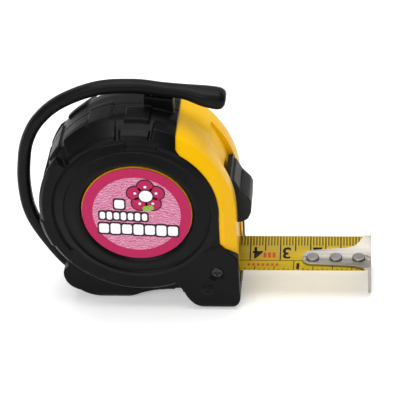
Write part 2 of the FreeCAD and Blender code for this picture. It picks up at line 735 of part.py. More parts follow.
def make_reel_cover():
    """Second flange, clipped to the open end of the hub."""
    return ring(post_r + running_gap, flange_r, -flange_inner_y - flange_thick, -flange_inner_y)


# ---------------------------------------------------------------- blade, rivets and hook
def make_blade():
    """Straight run of the hollow steel blade, with three rivet holes."""
    blade = blade_band(blade_r, blade_thick, blade_half, blade_in_x, blade_out_x)
    for x in rivet_x:
        blade = blade.cut(Part.makeCylinder(rivet_r + 0.02, 30, Vector(x, 0, 0), z_axis))
    return one_solid(blade)


def make_rivets():
    """Three identical rivets: shank, low round head above the hook, flat tail under the blade."""
    # the tongue's hollow rises towards the rim of a head
    rise = rivet_head_r ** 2 / blade_r / 2
    top = blade_low_z + blade_thick + hook_gap + hook_thick + hook_gap + rise
    foot = blade_low_z - rivet_tail
    solids = []
    for x in rivet_x:
        shank = Part.makeCylinder(rivet_r, top - foot, Vector(x, 0, foot))
        tail = Part.makeCylinder(rivet_tail_r, rivet_tail, Vector(x, 0, foot))
        head = Part.makeCylinder(rivet_head_r, rivet_head, Vector(x, 0, top))
        rim = [e for e in head.Edges if abs(e.BoundBox.ZMin - top - rivet_head) < 1e-6]
        head = head.makeFillet(rivet_head * 0.7, rim)
        solids.append(one_solid(shank.fuse([tail, head])))
    return Part.makeCompound(solids)


def make_hook():
    """End hook: a tongue that lies in the blade's hollow and a turned-down plate."""
    upper_r = blade_r - hook_gap - hook_thick
    plate_x = blade_out_x + hook_play + 0.1
    end_x = plate_x + hook_plate
    tongue = blade_band(upper_r, hook_thick, blade_half - 0.3, hook_tail_x, end_x)
    half, root = hook_tongue_half, hook_root_half
    flare = [(hook_tail_x, -0.3 * half), (hook_tail_x + 0.6, -0.65 * half), (hook_tail_x + 1.9, -0.92 * half),
             (hook_tail_x + 3.8, -half), (plate_x - 6.9, -root), (plate_x - 4.5, -root - 0.7),
             (plate_x - 2.9, -root - 2.2), (plate_x - 1.9, -blade_half + 0.8), (plate_x - 1.3, -blade_half),
             (end_x + 1, -blade_half)]
    corners = [Vector(x, y, 0) for x, y in flare + [(x, -y) for x, y in flare[::-1]]]
    plan = Part.Face(Part.makePolygon(corners + corners[:1])).extrude(Vector(0, 0, 30))
    tongue = tongue.common(plan)
    top_z = blade_low_z + blade_sag + 0.4
    side = blade_half
    outline = [(-side + 2.2, hook_drop_z), (side - 2.2, hook_drop_z), (side, hook_drop_z + 2.2), (side, top_z),
               (-side, top_z), (-side, hook_drop_z + 2.2)]
    plate = column(outline, plate_x, end_x)
    above = Part.makeCylinder(upper_r, big, Vector(0, 0, blade_low_z + blade_thick + blade_r), x_axis)
    plate = plate.cut(above)
    hook = tongue.fuse(plate)
    for x in rivet_x:
        slot_r = rivet_r + 0.1
        for shift in (0.0, hook_play):
            hook = hook.cut(Part.makeCylinder(slot_r, 30, Vector(x + shift, 0, 0), z_axis))
        hook = hook.cut(box(x, x + hook_play, -slot_r, slot_r, 0, 30))
    return one_solid(hook)


# ---------------------------------------------------------------- lock and brake
def make_lock_button():
    """Slider with a raised thumb grip, and a neck that goes through the track's window."""
    inner = track_r + track_gap
    outer = inner + slider_thick
    plate = track_sector(inner, outer, slider_low_deg, slider_high_deg, slot_half - slot_gap)
    front = track_x + outer
    peak = front + grip_proud
    outline = [(front - 1.9, 11.2), (front - 0.5, 10.6), (front + 1.3, 7.0), (peak - 0.6, 3.8),
               (peak, 2.2), (peak - 0.2, -2.0), (peak - 1.2, -4.4), (front + 1.7, -5.6), (front, -5.9),
               (front - 1.2, -5.7), (front - 1.0, 2.0)]
    grip = slab([(x, track_z + rise) for x, rise in outline], -grip_half, grip_half)
    neck = track_sector(track_r - floor_wall - track_gap, inner + 0.3, neck_low_deg, neck_high_deg, neck_half)
    peg = track_sector(track_r - floor_wall - track_gap - retainer_thick, inner, neck_low_deg + 3,
                       neck_high_deg - 3, neck_half / 2)
    return one_solid(plate.fuse([grip, neck, peg]))


def make_lock_retainer():
    """Plate behind the track floor that keeps the slider on its track."""
    outer = track_r - floor_wall - track_gap
    plate = track_sector(outer - retainer_thick, outer, neck_low_deg - 3.5, neck_high_deg + 4, retainer_half)
    hole = track_sector(outer - retainer_thick - 1, outer + 1, neck_low_deg + 3, neck_high_deg - 3, neck_half / 2)
    return one_solid(plate.cut(hole))


def make_brake():
    """Shoe beside the reel's flanges and the rubber pad on its curved face."""
    half = inner_y - 0.2
    pad_r = flange_r + brake_rim_gap
    shoe_r = pad_r + brake_pad_thick
    block = box(flange_r - 2, brake_back_x, -half, half, brake_low_z, brake_high_z)
    shoe = block.cut(disc(shoe_r, -big, big))
    pad = block.common(ring(pad_r, shoe_r, -half + 0.4, half - 0.4))
    pad = pad.common(box(flange_r - 2, big, -big, big, brake_low_z, brake_high_z))
    return one_solid(shoe), one_solid(pad)


# ---------------------------------------------------------------- build and write
parts["hand_strap"] = make_strap()
parts["strap_pins"] = make_strap_pins()
parts["mouth_bumper"] = make_mouth_bumper()
parts["front_shell"], parts["rear_shell"] = make_shells()
parts["front_jacket"], parts["rear_jacket"] = make_jackets()
parts["front_label"] = make_label()
parts["centre_post"] = make_centre_post()
parts["centre_screw"] = screw(-boss_y + screw_head, 0.0, 1)
parts["foot_screw"] = screw(-side_y + foot_screw_sink, inner_y - 1.5, 1, foot_screw_x, foot_screw_z)
parts["clip_screw"] = screw(boss_y + clip_thick, 3.0, -1)
parts["belt_clip"] = make_belt_clip()
parts["reel_washers"] = make_washers()
parts["blade_guide"] = make_blade_guide()
parts["blade_lead"] = make_blade_lead()
parts["reel_drum"] = make_reel_drum()
parts["reel_cover"] = make_reel_cover()
parts["blade_coil"] = spiral(coil_r, coil_turns, coil_pitch, coil_strip, coil_half)
parts["power_spring"] = spiral(post_r + spring_gap + 0.4, spring_turns, spring_pitch, spring_strip, spring_half)
parts["blade"] = make_blade()
parts["hook_rivets"] = make_rivets()
parts["end_hook"] = make_hook()
parts["lock_button"] = make_lock_button()
parts["lock_retainer"] = make_lock_retainer()
parts["brake_shoe"], parts["brake_pad"] = make_brake()

os.makedirs("parts", exist_ok=True)
for name, shape in parts.items():
    shape.exportStep("parts/" + name + ".step")
    print(name, round(shape.Volume, 2), "valid" if shape.isValid() else "NOT VALID", len(shape.Solids))
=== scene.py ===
"""Looks of the pocket tape measure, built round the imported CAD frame. Lengths are in metres."""

import json
import math

import bmesh
import bpy
from mathutils import Matrix, Vector


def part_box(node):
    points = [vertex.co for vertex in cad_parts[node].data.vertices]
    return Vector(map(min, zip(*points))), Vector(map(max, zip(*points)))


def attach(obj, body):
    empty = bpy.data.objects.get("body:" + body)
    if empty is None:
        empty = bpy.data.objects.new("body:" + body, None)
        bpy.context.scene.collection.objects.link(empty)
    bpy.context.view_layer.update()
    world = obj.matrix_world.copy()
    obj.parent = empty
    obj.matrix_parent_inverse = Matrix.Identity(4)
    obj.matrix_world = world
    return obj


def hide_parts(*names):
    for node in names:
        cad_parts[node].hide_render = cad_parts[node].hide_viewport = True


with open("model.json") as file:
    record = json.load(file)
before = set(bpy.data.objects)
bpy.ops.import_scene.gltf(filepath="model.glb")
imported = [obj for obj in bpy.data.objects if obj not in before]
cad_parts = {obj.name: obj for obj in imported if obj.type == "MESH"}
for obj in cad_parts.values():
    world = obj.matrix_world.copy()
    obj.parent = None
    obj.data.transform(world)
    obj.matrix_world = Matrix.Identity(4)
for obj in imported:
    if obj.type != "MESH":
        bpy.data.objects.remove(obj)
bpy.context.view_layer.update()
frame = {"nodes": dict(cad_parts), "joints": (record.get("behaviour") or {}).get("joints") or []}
nodes = frame["nodes"]
joints = {joint["name"]: joint for joint in frame["joints"]}

MM = 0.001

# places read from the frame
reel_pos = Vector(joints["reel_turn"]["pos_m"])
blade_low, blade_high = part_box("blade")
hook_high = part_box("end_hook")[1]
label_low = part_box("front_label")[0]

# blade section: half width, thickness and the hollow's radius
blade_half = 9.2 * MM
blade_thick = 0.18 * MM
blade_sag = blade_high.z - blade_low.z - blade_thick
hollow_r = (blade_half ** 2 + blade_sag ** 2) / (2 * blade_sag)
hollow_z = blade_low.z + blade_thick + hollow_r


# ---------------------------------------------------------------- materials
def linear(r, g, b):
    """Linear colour from 0-255 screen values."""
    def channel(v):
        v /= 255
        return v / 12.92 if v <= 0.04045 else ((v + 0.055) / 1.055) ** 2.4
    return (channel(r), channel(g), channel(b), 1.0)


class Shader:
    """Short way to build a Principled material from nodes in object space."""

    def __init__(self, name, color, rough, metallic=0.0, specular=0.5):
        self.material = bpy.data.materials.new(name)
        self.material.use_nodes = True
        self.tree = self.material.node_tree
        self.bsdf = self.tree.nodes["Principled BSDF"]
        self.bsdf.inputs["Base Color"].default_value = color
        self.bsdf.inputs["Roughness"].default_value = rough
        self.bsdf.inputs["Metallic"].default_value = metallic
        self.bsdf.inputs["Specular IOR Level"].default_value = specular
        self.coords = self.tree.nodes.new("ShaderNodeTexCoord")
        self.normal = None

    def link(self, a, b):
        self.tree.links.new(a, b)

    def mapping(self, scale):
        """Object coordinates stretched by a scale for each axis."""
        node = self.tree.nodes.new("ShaderNodeMapping")
        node.inputs["Scale"].default_value = scale
        self.link(self.coords.outputs["Object"], node.inputs["Vector"])
        return node.outputs["Vector"]

    def noise(self, scale, detail=3.0, rough=0.5, stretch=(1, 1, 1)):
        """Cloudy noise between 0 and 1."""
        node = self.tree.nodes.new("ShaderNodeTexNoise")
        node.inputs["Scale"].default_value = scale
        node.inputs["Detail"].default_value = detail
        node.inputs["Roughness"].default_value = rough
        self.link(self.mapping(stretch), node.inputs["Vector"])
        return node.outputs["Fac"]

    def ramp(self, value, low, high, at=(0.35, 0.65)):
        """Grey or colour ramp between two stops."""
        node = self.tree.nodes.new("ShaderNodeValToRGB")
        first, last = node.color_ramp.elements
        first.position, last.position = at
        first.color = low if len(low) == 4 else (*low, 1)
        last.color = high if len(high) == 4 else (*high, 1)
        self.link(value, node.inputs["Fac"])
        return node.outputs["Color"]

    def span(self, value, low, high):
        """Maps 0 to 1 on to low to high."""
        node = self.tree.nodes.new("ShaderNodeMapRange")
        node.inputs["To Min"].default_value = low
        node.inputs["To Max"].default_value = high
        self.link(value, node.inputs["Value"])
        return node.outputs["Result"]

    def color(self, output):
        """Feeds the base colour."""
        self.link(output, self.bsdf.inputs["Base Color"])

    def rough(self, output):
        """Feeds the roughness."""
        self.link(output, self.bsdf.inputs["Roughness"])

    def bump(self, height, strength, distance):
        """Adds one layer of bump; later layers stack on earlier ones."""
        node = self.tree.nodes.new("ShaderNodeBump")
        node.inputs["Strength"].default_value = strength
        node.inputs["Distance"].default_value = distance
        self.link(height, node.inputs["Height"])
        if self.normal is not None:
            self.link(self.normal, node.inputs["Normal"])
        self.normal = node.outputs["Normal"]
        self.link(self.normal, self.bsdf.inputs["Normal"])


def wear(shader, base, highlight_color, radius, amount):
    """Painted highlight: paler colour along the edges, found where rounded edges differ from the flat normal
    there.
    """
    bevel = shader.tree.nodes.new("ShaderNodeBevel")
    bevel.samples = 4
    bevel.inputs["Radius"].default_value = radius
    geometry = shader.tree.nodes.new("ShaderNodeNewGeometry")
    dot = shader.tree.nodes.new("ShaderNodeVectorMath")
    dot.operation = "DOT_PRODUCT"
    shader.link(bevel.outputs["Normal"], dot.inputs[0])
    shader.link(geometry.outputs["Normal"], dot.inputs[1])
    edge = shader.tree.nodes.new("ShaderNodeMapRange")
    edge.inputs["From Min"].default_value = 1.0
    edge.inputs["From Max"].default_value = 0.8
    edge.inputs["To Max"].default_value = amount
    shader.link(dot.outputs["Value"], edge.inputs["Value"])
    mix = shader.tree.nodes.new("ShaderNodeMix")
    mix.data_type = "RGBA"
    mix.inputs["B"].default_value = highlight_color
    shader.link(base, mix.inputs["A"])
    shader.link(edge.outputs["Result"], mix.inputs["Factor"])
    shader.color(mix.outputs["Result"])


def shell_material():
    """Glossy yellow ABS with a trace of moulding texture."""
    s = Shader("yellow_abs", linear(240, 182, 0), 0.32, specular=0.14)
    s.color(s.ramp(s.noise(45, 3), linear(238, 180, 0), linear(244, 189, 0)))
    s.rough(s.span(s.noise(300, 2), 0.3, 0.4))
    s.bump(s.noise(500, 2), 0.03, 0.0001)
    s.bsdf.inputs["Subsurface Weight"].default_value = 0.03
    s.bsdf.inputs["Subsurface Radius"].default_value = (0.002, 0.001, 0.0003)
    return s.material


def rubber_material(name, dark, light, rough_low, rough_high):
    """Black rubber with fine grain, and edges made a little paler by a painted highlight."""
    s = Shader(name, dark, rough_high, specular=0.1)
    base = s.ramp(s.noise(140, 5, 0.6), dark, light, (0.3, 0.75))
    # painted highlight: the rubber's edges are made paler than its grain
    edge_highlight = tuple(min(1.0, c * 3.0) for c in light[:3]) + (1.0,)
    wear(s, base, edge_highlight, 0.0005, 0.25)
    s.rough(s.span(s.noise(320, 4, 0.6), rough_low, rough_high))
    s.bump(s.noise(2600, 2, 0.5), 0.22, 0.00008)
    s.bump(s.noise(160, 3), 0.12, 0.0003)
    return s.material


def button_material():
    """Dark grained plastic of the lock, with a painted highlight that makes its edges paler."""
    s = Shader("lock_plastic", linear(20, 21, 23), 0.45, specular=0.2)
    base = s.ramp(s.noise(300, 4), linear(14, 15, 16), linear(25, 26, 28))
    # painted highlight: paler colour along the button's edges
    wear(s, base, linear(80, 82, 86), 0.0004, 0.4)
    s.rough(s.span(s.noise(900, 3), 0.36, 0.55))
    s.bump(s.noise(3200, 2), 0.2, 0.00006)
    return s.material


def metal_material(name, color, rough_low, rough_high, brush):
    """Metal with a grain; brush stretches the grain along the axis with the small value."""
    s = Shader(name, color, rough_low, metallic=1.0)
    dark = tuple(c * 0.82 for c in color[:3]) + (1.0,)
    s.color(s.ramp(s.noise(220, 4, stretch=brush), dark, color))
    s.rough(s.span(s.noise(500, 5, 0.6, brush), rough_low, rough_high))
    s.bump(s.noise(900, 4, 0.6, brush), 0.12, 0.00005)
    return s.material


def plain_plastic(name, color):
    """Pale plastic of the parts inside."""
    s = Shader(name, color, 0.45)
    dark = tuple(c * 0.86 for c in color[:3]) + (1.0,)
    s.color(s.ramp(s.noise(200, 3), dark, color))
    s.rough(s.span(s.noise(700, 3), 0.38, 0.55))
    s.bump(s.noise(1500, 2), 0.1, 0.00005)
    return s.material


def lacquer_material():
    """Yellow lacquer over spring steel, with faint roller marks along the blade."""
    s = Shader("blade_lacquer", linear(180, 152, 8), 0.36, specular=0.14)
    streaks = s.noise(260, 4, 0.6, (0.12, 1, 1))
    s.color(s.ramp(streaks, linear(170, 144, 4), linear(192, 164, 8)))
    s.rough(s.span(s.noise(800, 4), 0.26, 0.42))
    s.bump(s.noise(1200, 3, 0.5, (0.2, 1, 1)), 0.08, 0.00004)
    s.bsdf.inputs["Coat Weight"].default_value = 0.08
    s.bsdf.inputs["Coat Roughness"].default_value = 0.2
    return s.material


def ink_material(name, color, rough=0.5):
    """Printed ink, slightly uneven."""
    s = Shader(name, color, rough, specular=0.15)
    faded = tuple(min(1.0, c * 1.25 + 0.004) for c in color[:3]) + (1.0,)
    s.color(s.ramp(s.noise(1800, 4, 0.7), color, faded, (0.3, 0.8)))
    s.rough(s.span(s.noise(900, 3), rough * 0.8, rough * 1.15))
    return s.material


def swirl_material():
    """Pale field of the label with a fine printed pattern of wandering lines."""
    s = Shader("label_swirl", linear(206, 132, 160), 0.45, specular=0.15)
    wave = s.tree.nodes.new("ShaderNodeTexWave")
    wave.wave_type = "RINGS"
    wave.rings_direction = "Y"
    wave.inputs["Scale"].default_value = 330
    wave.inputs["Distortion"].default_value = 9.0
    wave.inputs["Detail"].default_value = 2.5
    wave.inputs["Detail Scale"].default_value = 2.2
    s.link(s.mapping((1, 1, 1)), wave.inputs["Vector"])
    s.color(s.ramp(wave.outputs["Fac"], linear(192, 104, 140), linear(218, 150, 175), (0.25, 0.75)))
    s.rough(s.span(s.noise(700, 3), 0.3, 0.45))
    return s.material


SHELL = shell_material()
RUBBER = rubber_material("jacket_rubber", linear(6, 6, 7), linear(13, 13, 14), 0.3, 0.44)
STRAP = rubber_material("strap_rubber", linear(10, 10, 11), linear(21, 21, 22), 0.26, 0.4)
BUTTON = button_material()
STEEL = metal_material("zinc_steel", (0.55, 0.55, 0.54, 1), 0.22, 0.42, (1, 1, 1))
NICKEL = metal_material("satin_nickel", (0.40, 0.375, 0.335, 1), 0.34, 0.5, (0.15, 1, 1))
CLIP = metal_material("clip_steel", (0.56, 0.56, 0.57, 1), 0.2, 0.36, (1, 1, 0.1))
RIVET = metal_material("rivet_steel", (0.27, 0.26, 0.245, 1), 0.36, 0.55, (1, 1, 1))
BLACK_SCREW = metal_material("black_screw", (0.045, 0.045, 0.048, 1), 0.35, 0.5, (1, 1, 1))
INNER = plain_plastic("inner_acetal", linear(205, 204, 198))
LACQUER = lacquer_material()
INK = ink_material("black_ink", linear(16, 14, 10))
RED_INK = ink_material("red_ink", linear(176, 62, 22))
RING_PINK = ink_material("label_ring", linear(172, 26, 80), 0.42)
WHITE = ink_material("label_white", linear(244, 244, 246), 0.4)
OUTLINE = ink_material("label_outline", linear(58, 22, 40), 0.42)
GREEN = ink_material("label_green", linear(128, 170, 62), 0.42)
SWIRL = swirl_material()


# ---------------------------------------------------------------- mesh helpers
def add_object(name, mesh, material, body):
    """Links a mesh as a piece that rides on a body and takes its finish from a slot."""
    obj = bpy.data.objects.new(name, mesh)
    bpy.context.scene.collection.objects.link(obj)
    mesh.materials.clear()
    mesh.materials.append(material)
    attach(obj, body)
    return obj


def smooth_by_angle(mesh, degrees):
    """Smooth faces, with edges sharper than the angle kept crisp."""
    bm = bmesh.new()
    bm.from_mesh(mesh)
    limit = math.radians(degrees)
    for face in bm.faces:
        face.smooth = True
    for edge in bm.edges:
        edge.smooth = len(edge.link_faces) == 2 and edge.calc_face_angle(0) < limit
    bm.to_mesh(mesh)
    bm.free()


def loft(name, rings):
    """Closed mesh through equal rings of points, capped at both ends."""
    bm = bmesh.new()
    rows = [[bm.verts.new(p) for p in ring] for ring in rings]
    count = len(rings[0])
    for a, b in zip(rows, rows[1:]):
        for i in range(count):
            j = (i + 1) % count
            bm.faces.new((a[i], a[j], b[j], b[i]))
    bm.faces.new(rows[0][::-1])
    bm.faces.new(rows[-1])
    bmesh.ops.recalc_face_normals(bm, faces=bm.faces)
    mesh = bpy.data.meshes.new(name)
    bm.to_mesh(mesh)
    bm.free()
    return mesh


def apply_modifiers(obj):
    """Bakes an object's modifiers into its mesh."""
    graph = bpy.context.evaluated_depsgraph_get()
    graph.update()
    mesh = bpy.data.meshes.new_from_object(obj.evaluated_get(graph))
    obj.modifiers.clear()
    old = obj.data
    obj.data = mesh
    bpy.data.meshes.remove(old)


# ---------------------------------------------------------------- moulded rubber jacket
JACKET_VOXEL = 0.24 * MM
JACKET_PASSES = 4


def soften(node, name, material, body):
    """Copy of a CAD node, remeshed and relaxed so that its edges are as round as a moulding's."""
    mesh = nodes[node].data.copy()
    mesh.name = name
    obj = bpy.data.objects.new(name, mesh)
    bpy.context.scene.collection.objects.link(obj)
    remesh = obj.modifiers.new("remesh", "REMESH")
    remesh.mode = "VOXEL"
    remesh.voxel_size = JACKET_VOXEL
    remesh.use_smooth_shade = True
    relax = obj.modifiers.new("relax", "SMOOTH")
    relax.factor = 0.5
    relax.iterations = JACKET_PASSES
    apply_modifiers(obj)
    obj.data.materials.clear()
    obj.data.materials.append(material)
    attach(obj, body)
    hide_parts(node)


soften("front_jacket", "front_jacket_moulding", RUBBER, "case")
soften("rear_jacket", "rear_jacket_moulding", RUBBER, "case")


# ---------------------------------------------------------------- CAD nodes that keep their shape
WELD_DISTANCE = 0.01 * MM
SHARP_DEG = 35


def finish_node(node, material, bevel=0.0):
    """Gives a CAD node its material and rounds its edges with a modifier."""
    obj = nodes[node]
    obj.data.materials.clear()
    obj.data.materials.append(material)
    if bevel:
        weld = obj.modifiers.new("weld", "WELD")
        weld.merge_threshold = WELD_DISTANCE
        rounding = obj.modifiers.new("rounding", "BEVEL")
        rounding.width = bevel
        rounding.segments = 3
        rounding.limit_method = "ANGLE"
        rounding.angle_limit = math.radians(SHARP_DEG)


for node in ("front_shell", "rear_shell"):
    finish_node(node, SHELL, 0.25 * MM)
finish_node("end_hook", NICKEL, 0.16 * MM)
finish_node("hook_rivets", RIVET, 0.08 * MM)
finish_node("blade", LACQUER)
finish_node("blade_coil", LACQUER)
finish_node("blade_lead", LACQUER)
finish_node("foot_screw", BLACK_SCREW, 0.06 * MM)
finish_node("centre_screw", STEEL, 0.06 * MM)
finish_node("clip_screw", STEEL, 0.06 * MM)
finish_node("belt_clip", CLIP, 0.18 * MM)
finish_node("strap_pins", STEEL, 0.1 * MM)
finish_node("power_spring", STEEL)
finish_node("mouth_bumper", RUBBER, 0.15 * MM)
finish_node("brake_pad", RUBBER, 0.08 * MM)
finish_node("lock_retainer", BUTTON, 0.15 * MM)
finish_node("brake_shoe", INNER, 0.1 * MM)
for node in ("centre_post", "reel_washers", "blade_guide", "reel_drum", "reel_cover"):
    finish_node(node, INNER, 0.12 * MM)
finish_node("front_label", RING_PINK, 0.05 * MM)
finish_node("lock_button", BUTTON, 0.35 * MM)


# ---------------------------------------------------------------- hand strap
TREAD_R = 30.8 * MM
STRAP_THICK = 4.2 * MM
STRAP_HALF = 2.3 * MM
STRAP_PAD_HALF = 3.75 * MM
# (degrees round the reel, gap above the tread in mm) from the tab's root to the rear foot
STRAP_RUN = [(66, 5.4), (76, 4.0), (90, 4.1), (108, 5.2), (127, 6.4), (142, 7.0), (155, 6.6), (168, 5.7),
             (181, 5.6), (195, 6.2), (208, 6.4)]
# (x, z, thickness) in mm from the tab's root forwards
STRAP_TAB = [(12.9, -3.0, 2.4), (12.3, -2.85, 4.6), (11.0, -2.6, 6.0), (9.0, -2.2, 6.2), (5.8, -1.5, 5.5)]
# length over which the band widens into the tab, and where it starts behind the tab's root
TAB_FLARE = 5.0 * MM
TAB_FLARE_START = 1.0 * MM
# the tab's end is round when seen from above
TAB_END_SHARES = (0.72, 0.9)
STRAP_STEPS = 8
STRAP_ANCHOR = Vector((-20.9, 0, 3.45)) * MM
STRAP_ROOT = [(-7.6, 6.4, 4.2), (-2.6, 0.9, 3.4), (0.0, 0.0, 3.4)]
# half of the section: share of the half width, share of the half thickness
STRAP_SECTION = [(0.0, 1.0), (0.46, 1.0), (0.54, 0.86), (0.66, 0.88), (0.90, 0.66), (1.0, 0.30),
                 (1.0, -0.30), (0.90, -0.66), (0.66, -0.9), (0.5, -0.9), (0.42, -1.0), (0.0, -1.0)]


def strap_stations():
    """Places along the strap's middle line with thickness and half width."""
    route = []
    for degrees, gap in STRAP_RUN:
        radius = TREAD_R + gap * MM + STRAP_THICK / 2
        angle = math.radians(degrees)
        route.append((radius * math.cos(angle), reel_pos.z + radius * math.sin(angle), STRAP_THICK))
    root_x, root_z = route[0][:2]
    tab = [(root_x + x * MM, root_z + z * MM, thick * MM) for x, z, thick in STRAP_TAB]
    tail = [(STRAP_ANCHOR.x + x * MM, STRAP_ANCHOR.z + z * MM, thick * MM) for x, z, thick in STRAP_ROOT]
    stations = []
    for x, z, thick in tab + route + tail:
        share = min(max((x - root_x + TAB_FLARE_START) / TAB_FLARE, 0.0), 1.0)
        half = STRAP_HALF + share * (STRAP_PAD_HALF - STRAP_HALF)
        stations.append([x, z, thick, half])
    for station, share in zip(stations, TAB_END_SHARES):
        station[3] *= share
    return stations


def along(stations, steps):
    """Catmull-Rom line through the stations."""
    points = []
    for i in range(len(stations) - 1):
        last = len(stations) - 1
        quad = [stations[max(i - 1, 0)], stations[i], stations[i + 1], stations[min(i + 2, last)]]
        for k in range(steps):
            t = k / steps
            weights = (-0.5 * t + t * t - 0.5 * t ** 3, 1 - 2.5 * t * t + 1.5 * t ** 3,
                       0.5 * t + 2 * t * t - 1.5 * t ** 3, -0.5 * t * t + 0.5 * t ** 3)
            points.append([sum(w * p[axis] for w, p in zip(weights, quad)) for axis in range(4)])
    points.append(list(stations[-1]))
    return points


def hand_strap():
    """Moulded strap with a ridged section, swept along its route."""
    line = along(strap_stations(), STRAP_STEPS)
    section = STRAP_SECTION + [(-y, z) for y, z in STRAP_SECTION[-2:0:-1]]
    rings = []
    for i, (x, z, thick, half) in enumerate(line):
        before, after = line[max(i - 1, 0)], line[min(i + 1, len(line) - 1)]
        run = Vector((after[0] - before[0], 0, after[1] - before[1])).normalized()
        normal = Vector((run.z, 0, -run.x))
        rings.append([Vector((x, y * half, z)) + normal * (h * thick / 2) for y, h in section])
    mesh = loft("hand_strap_moulding", rings)
    obj = add_object("hand_strap_moulding", mesh, STRAP, "case")
    soft = obj.modifiers.new("soft_edges", "SUBSURF")
    soft.levels = 1
    soft.render_levels = 1
    apply_modifiers(obj)
    smooth_by_angle(obj.data, 50)
    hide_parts("hand_strap")


hand_strap()


# ---------------------------------------------------------------- lock button ribs
RIB_R = 0.17 * MM
RIB_SINK = 0.04 * MM
RIB_HALF = 5.2 * MM
RIB_SIDES = 8


def rib(bm, centre, way, out):
    """One round rib across the grip, sunk a little into it."""
    angles = [2 * math.pi * k / RIB_SIDES for k in range(RIB_SIDES)]
    ring = [centre + way * (RIB_R * math.cos(a)) + out * (RIB_R * math.sin(a) - RIB_SINK) for a in angles]
    left = [bm.verts.new(p + Vector((0, -RIB_HALF, 0))) for p in ring]
    right = [bm.verts.new(p + Vector((0, RIB_HALF, 0))) for p in ring]
    for k in range(RIB_SIDES):
        j = (k + 1) % RIB_SIDES
        bm.faces.new((left[k], left[j], right[j], right[k]))
    bm.faces.new(left[::-1])
    bm.faces.new(right)


def button_ribs():
    """Fine ribs down the two slopes of the thumb grip."""
    button_low, button_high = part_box("lock_button")
    slope_top = Vector((button_high.x - 3.2 * MM, 0, button_low.z + 13.2 * MM))
    slope_low = Vector((button_high.x - 0.5 * MM, 0, button_low.z + 9.6 * MM))
    foot = Vector((button_high.x - 0.25 * MM, 0, button_low.z + 4.2 * MM))
    bm = bmesh.new()
    for start, end, count in ((slope_top, slope_low, 7), (slope_low, foot, 8)):
        way = (end - start).normalized()
        out = Vector((-way.z, 0, way.x))
        if out.x < 0:
            out = -out
        for i in range(count):
            rib(bm, start + (end - start) * (i + 0.5) / count, way, out)
    bmesh.ops.recalc_face_normals(bm, faces=bm.faces)
    mesh = bpy.data.meshes.new("button_ribs")
    bm.to_mesh(mesh)
    bm.free()
    smooth_by_angle(mesh, 60)
    add_object("button_ribs", mesh, BUTTON, "lock")


button_ribs()


# ---------------------------------------------------------------- blade printing
def on_blade(x, y, lift):
    """Point above the blade's hollow face; y is measured across the chord."""
    radius = hollow_r - lift
    return Vector((x, y, hollow_z - math.sqrt(radius * radius - y * y)))


INK_LIFT = 0.012 * MM
INK_THICK = 0.02 * MM


def printed_bar(bm, x0, x1, y0, y1):
    """Thin closed bar of ink that follows the hollow."""
    steps = max(1, round(abs(y1 - y0) / (0.6 * MM)))
    rows = []
    for i in range(steps + 1):
        y = y0 + (y1 - y0) * i / steps
        corners = [(x0, INK_LIFT), (x1, INK_LIFT), (x1, INK_LIFT + INK_THICK), (x0, INK_LIFT + INK_THICK)]
        rows.append([bm.verts.new(on_blade(x, y, lift)) for x, lift in corners])
    for a, b in zip(rows, rows[1:]):
        for i in range(4):
            j = (i + 1) % 4
            bm.faces.new((a[i], a[j], b[j], b[i]))
    bm.faces.new(rows[0][::-1])
    bm.faces.new(rows[-1])


def finish_print(bm, name, material):
    """Turns the bars into a piece that rides on the blade."""
    bmesh.ops.recalc_face_normals(bm, faces=bm.faces)
    mesh = bpy.data.meshes.new(name)
    bm.to_mesh(mesh)
    bm.free()
    add_object(name, mesh, material, "blade")


# the scales count from the hook's outer face, and stop short of the blade's two ends
zero_x = hook_high.x
printed_from = blade_low.x + 1 * MM
printed_to = blade_high.x - 0.3 * MM
FAR_EDGE = 9.1 * MM
DIVIDER_Y = -0.42 * MM
LINE = 0.34 * MM
CENTIMETRE = 10 * MM
INCH = 25.4 * MM
# where the shorter ticks of each scale end, across the blade
FIVE_MM_END, ONE_MM_END = 4.1 * MM, 6.15 * MM
QUARTER_END, EIGHTH_END, SIXTEENTH_END = -4.3 * MM, -5.9 * MM, -6.8 * MM


def metric_scale():
    """Millimetre ticks from the far edge, longer ones at 5 mm, and full lines at each centimetre."""
    bm = bmesh.new()
    count = int((zero_x - printed_from) / MM)
    for i in range(3, count):
        x = zero_x - i * MM
        if x > printed_to:
            continue
        if i % 10 == 0:
            end, width = DIVIDER_Y, LINE * 1.15
        elif i % 5 == 0:
            end, width = FIVE_MM_END, LINE * 1.1
        else:
            end, width = ONE_MM_END, LINE
        printed_bar(bm, x - width / 2, x + width / 2, end, FAR_EDGE)
    finish_print(bm, "metric_ticks", INK)


def inch_scale():
    """Divider line, and sixteenths of an inch from the near edge."""
    bm = bmesh.new()
    left, right = printed_from, blade_high.x - 0.4 * MM
    printed_bar(bm, left, right, DIVIDER_Y - 0.12 * MM, DIVIDER_Y + 0.12 * MM)
    count = int((zero_x - printed_from) / (INCH / 16))
    for i in range(2, count):
        x = zero_x - i * INCH / 16
        if x > printed_to:
            continue
        if i % 16 == 0:
            end = DIVIDER_Y
        elif i % 4 == 0:
            end = QUARTER_END
        elif i % 2 == 0:
            end = EIGHTH_END
        else:
            end = SIXTEENTH_END
        printed_bar(bm, x - LINE * 0.42, x + LINE * 0.42, -FAR_EDGE, end)
    finish_print(bm, "inch_ticks", INK)


# a numeral is cut across so that it can follow the hollow
DIGIT_CUTS = 14


